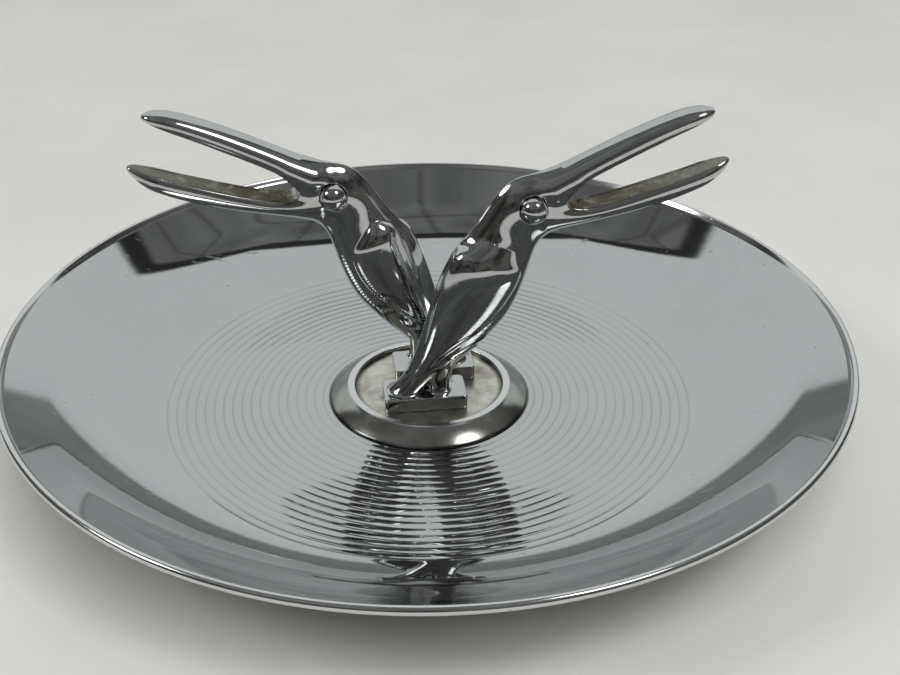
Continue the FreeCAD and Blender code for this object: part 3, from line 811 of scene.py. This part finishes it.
def dull_plate():
    """Dull, dirty mirror with brown spots, most by the foot blocks; painted shade darkens it towards the
    ring.
    """
    shader = Shader("dull_plate")
    cloud = shader.noise(140, 7, 0.7)
    colour = shader.mix(shader.between(cloud, 0.35, 0.68), (0.66, 0.66, 0.61), (0.40, 0.37, 0.30))
    # painted shade: darker towards the plate's edge, where the ring stands round it
    edge = shader.between(shader.from_axis(), 19.2 * MM, 20.9 * MM, 0.0, 0.8)
    colour = shader.mix(edge, colour, SOOT_AND_SHADE)
    for centre, radius in (((15, 6, 6), 3.5), ((-13, -5, 6), 3.0), ((0, 0, 6), 3.0), ((13, 13, 6), 2.5)):
        colour = shader.mix(shader.product(shader.spot(centre, radius), 0.75), colour, BROWN)
    rough = shader.total(shader.product(cloud, 0.22), 0.18)
    return shader.finish(colour, rough, 1.0, cloud, 0.15, 0.0002)


def plain_metal(name, tone, rough):
    shader = Shader(name)
    cloud = shader.noise(300, 6, 0.65)
    colour = shader.mix(shader.between(cloud, 0.35, 0.65), tone, tuple(c * 0.6 for c in tone))
    roughness = shader.total(shader.product(cloud, 0.3), rough)
    return shader.finish(colour, roughness, 1.0, cloud, 0.2, 0.0002)


def felt(name):
    shader = Shader(name)
    fibre = shader.noise(2600, 8, 0.7)
    colour = shader.mix(fibre, (0.03, 0.06, 0.04), (0.10, 0.16, 0.11))
    return shader.finish(colour, 0.95, 0.0, fibre, 0.8, 0.0006)


def painted_floor(name):
    shader = Shader(name)
    cloud = shader.between(shader.noise(9, 6, 0.6), 0.3, 0.7)
    colour = shader.mix(cloud, (0.80, 0.80, 0.77), (0.86, 0.86, 0.83))
    return shader.finish(colour, 0.6, 0.0, shader.noise(120, 6, 0.6), 0.2, 0.0006)


# Tarnish on the castings: middle, radius, tone, strength; millimetres in the frame
FRONT_STAINS = (
    ((7, -12, 45), 2.2, BROWN, 0.8), ((37, -10, 65), 3.0, OLIVE, 0.75), ((48, -8, 66), 3.5, OLIVE, 0.5),
    ((60, -8, 70), 3.5, OLIVE, 0.4), ((5, -5, 10), 2.4, OLIVE, 0.7), ((-9, -6, 10), 2.0, BROWN, 0.6),
)
REAR_STAINS = (
    ((-8, 2, 33), 4.5, OLIVE, 0.5), ((-35, 5, 65), 3.0, OLIVE, 0.75), ((-47, 7, 66), 3.5, OLIVE, 0.5),
    ((-60, 7, 70), 3.5, OLIVE, 0.4), ((-4, 5, 10), 2.2, OLIVE, 0.7), ((9, 5, 10), 2.2, BROWN, 0.6),
)


def wear(piece, material):
    piece.data.materials.clear()
    piece.data.materials.append(material)


# ---- Studio ------------------------------------------------------------------------------------------
FLOOR_HALF = 2.2
PALE_WALL = (0.73, 0.755, 0.75)
NEARLY_BLACK = (0.03, 0.03, 0.03)
LAMP_TINT = (1.0, 0.99, 0.97)
LAMPS = ((-91, 38), (124, 58))               # azimuth and elevation; azimuth 0 is +Y and 90 is +X
LAMP_RADIANCE = 5.5
LAMP_HALF_ANGLE = 9.5
LAMP_SOFT_EDGE = 2.5
WALL_AZIMUTH = 4.0                           # of the pale wall's middle
WALL_HALF_WIDTH = (52.0, 54.0)               # degrees, the soft edge's two sides
BORDER_HALF_WIDTH = (57.0, 59.0)             # of the dark border round it
WALL_TOP = 3.79                              # height over distance of the wall's straight top edge
SKIRTING = (12.0, 14.0)                      # degrees above the horizon where the paint starts
PANELS = 3.3                                 # ceiling panels to one room height
CAMERA_AZIMUTH = math.radians(-7.7)
CAMERA_ELEVATION = math.radians(30.4)
CAMERA_DISTANCE = 335.7 * MM
CAMERA_AIM = (6.04 * MM, 18.28 * MM)         # right of the dish's axis, and above its floor
CAMERA_LENS = 48.0


def make_floor():
    corners = [(x * FLOOR_HALF, y * FLOOR_HALF, 0) for x, y in ((-1, -1), (1, -1), (1, 1), (-1, 1))]
    floor = new_object("floor", corners, [(0, 1, 2, 3)])
    wear(floor, painted_floor("pale_paint"))


def direction(azimuth, elevation):
    """Unit vector; azimuth 0 is +Y, 90 is +X."""
    a, e = math.radians(azimuth), math.radians(elevation)
    return Vector((math.sin(a) * math.cos(e), math.cos(a) * math.cos(e), math.sin(e)))


def make_room():
    """Pale wall on the far side, a dim panelled ceiling, dark low parts and two soft round lamps."""
    world = bpy.data.worlds.new("room")
    bpy.context.scene.world = world
    world.use_nodes = True
    room = Nodes(world.node_tree, "Generated")
    x, y, z = room.axes()
    azimuth = room.product(room.math("ARCTAN2", x, y), 180 / math.pi)
    height = room.product(room.math("ARCSINE", z), 180 / math.pi)
    side = room.math("ABSOLUTE", room.math("SUBTRACT", azimuth, WALL_AZIMUTH))
    slope = room.math("DIVIDE", z, room.math("MAXIMUM", y, 0.01))

    cloud = room.noise(3.2, 5, 0.6)
    low = room.mix(room.between(cloud, 0.38, 0.62), (0.03, 0.029, 0.027), (0.13, 0.124, 0.116))
    ceiling = room.mix(room.between(cloud, 0.3, 0.7), (0.11, 0.112, 0.11), (0.23, 0.232, 0.23))
    joints = []
    for level in (x, y):
        panel = room.product(room.math("DIVIDE", level, z), PANELS)
        joints.append(room.between(room.math("PINGPONG", panel, 0.5), 0.0, 0.05, 1.0, 0.0))
    joint = room.math("MULTIPLY", room.total(*joints), 0.55, clamp=True)
    ceiling = room.mix(joint, ceiling, (0.05, 0.05, 0.05))
    colour = room.mix(room.between(height, 26, 40), low, ceiling)

    border = room.product(
        room.between(side, *BORDER_HALF_WIDTH, 1.0, 0.0),
        room.between(slope, WALL_TOP * 1.30, WALL_TOP * 1.36, 1.0, 0.0))
    wall = room.product(
        room.between(side, *WALL_HALF_WIDTH, 1.0, 0.0),
        room.between(slope, WALL_TOP * 0.97, WALL_TOP * 1.03, 1.0, 0.0),
        room.between(height, *SKIRTING))
    shaded = tuple(tone * 0.85 for tone in PALE_WALL)
    paint = room.mix(room.between(height, 10, 20), shaded, PALE_WALL)
    skirting = room.mix(room.between(cloud, 0.35, 0.65), (0.20, 0.205, 0.205), (0.28, 0.285, 0.285))
    frame_round_wall = room.mix(room.between(height, 15.0, 17.0), skirting, NEARLY_BLACK)
    colour = room.mix(border, colour, frame_round_wall)
    colour = room.mix(wall, colour, paint)
    horizon = room.between(room.math("ABSOLUTE", height), 0.6, 2.2, 0.8, 0.0)
    colour = room.mix(horizon, colour, NEARLY_BLACK)

    inner = math.cos(math.radians(LAMP_HALF_ANGLE - LAMP_SOFT_EDGE / 2))
    outer = math.cos(math.radians(LAMP_HALF_ANGLE + LAMP_SOFT_EDGE / 2))
    glow = 0.0
    for azimuth_of_lamp, height_of_lamp in LAMPS:
        facing = room.add("ShaderNodeVectorMath", operation="DOT_PRODUCT")
        room.feed(room.place, facing.inputs[0])
        facing.inputs[1].default_value = direction(azimuth_of_lamp, height_of_lamp)
        disc = room.between(facing.outputs["Value"], outer, inner, 0.0, LAMP_RADIANCE)
        glow = room.math("ADD", disc, glow)

    plain = world.node_tree.nodes["Background"]
    lit = room.add("ShaderNodeBackground")
    both = room.add("ShaderNodeAddShader")
    room.feed(colour, plain.inputs["Color"])
    room.feed(LAMP_TINT, lit.inputs["Color"])
    room.feed(glow, lit.inputs["Strength"])
    room.feed(plain.outputs[0], both.inputs[0])
    room.feed(lit.outputs[0], both.inputs[1])
    room.feed(both.outputs[0], world.node_tree.nodes["World Output"].inputs["Surface"])


def make_fill():
    """Large soft lamp over the near side; it lights the floor and leaves the mirror finish alone."""
    light = bpy.data.lights.new("fill", "AREA")
    light.shape = "DISK"
    light.size = 1.1
    light.energy = 9.0
    fill = bpy.data.objects.new("fill", light)
    fill.location = (0.1, -0.75, 1.25)
    fill.rotation_mode = "QUATERNION"
    fill.rotation_quaternion = fill.location.to_track_quat("Z", "Y")
    fill.visible_glossy = False
    bpy.context.scene.collection.objects.link(fill)


def make_camera():
    """The view from in front, a little to the left and a third of the way up."""
    right = Vector((math.cos(CAMERA_AZIMUTH), math.sin(CAMERA_AZIMUTH), 0))
    level = Vector((math.sin(CAMERA_AZIMUTH), -math.cos(CAMERA_AZIMUTH), 0))
    back = level * math.cos(CAMERA_ELEVATION) + Vector((0, 0, math.sin(CAMERA_ELEVATION)))
    aim_right, aim_up = CAMERA_AIM
    target = right * aim_right + Vector((0, 0, aim_up + FLOOR_TOP))
    data = bpy.data.cameras.new("camera")
    data.sensor_width = 36
    data.lens = CAMERA_LENS
    data.clip_start = 0.01
    camera = bpy.data.objects.new("camera", data)
    camera.location = target + back * CAMERA_DISTANCE
    camera.rotation_mode = "QUATERNION"
    camera.rotation_quaternion = (-back).to_track_quat("-Z", "Y")
    bpy.context.scene.collection.objects.link(camera)
    bpy.context.scene.camera = camera


def main():
    make_floor()
    make_room()
    make_fill()
    make_camera()
    bpy.context.scene.view_settings.view_transform = "Standard"

    front, rear = make_birds()
    wear(front, chrome("front_chrome", rough=0.075, stains=FRONT_STAINS, film=True))
    wear(rear, chrome("rear_chrome", rough=0.075, stains=REAR_STAINS, film=True))
    wear(make_dish(), dish_chrome())
    wear(make_hub_ring(), ring_chrome())
    eye_chrome = chrome("eye_chrome", rough=0.025, pits=0.3)
    for ball in make_eyes():
        wear(ball, eye_chrome)
    wear(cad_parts["hub_plate"], dull_plate())
    wear(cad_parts["felt_ring"], felt("felt"))
    screw_steel = plain_metal("screw_steel", (0.55, 0.55, 0.52), 0.25)
    washer_steel = plain_metal("washer_steel", (0.45, 0.45, 0.43), 0.35)
    for name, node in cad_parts.items():
        if name.startswith("screw_"):
            wear(node, screw_steel)
        if "_washer_" in name:
            wear(node, washer_steel)


main()
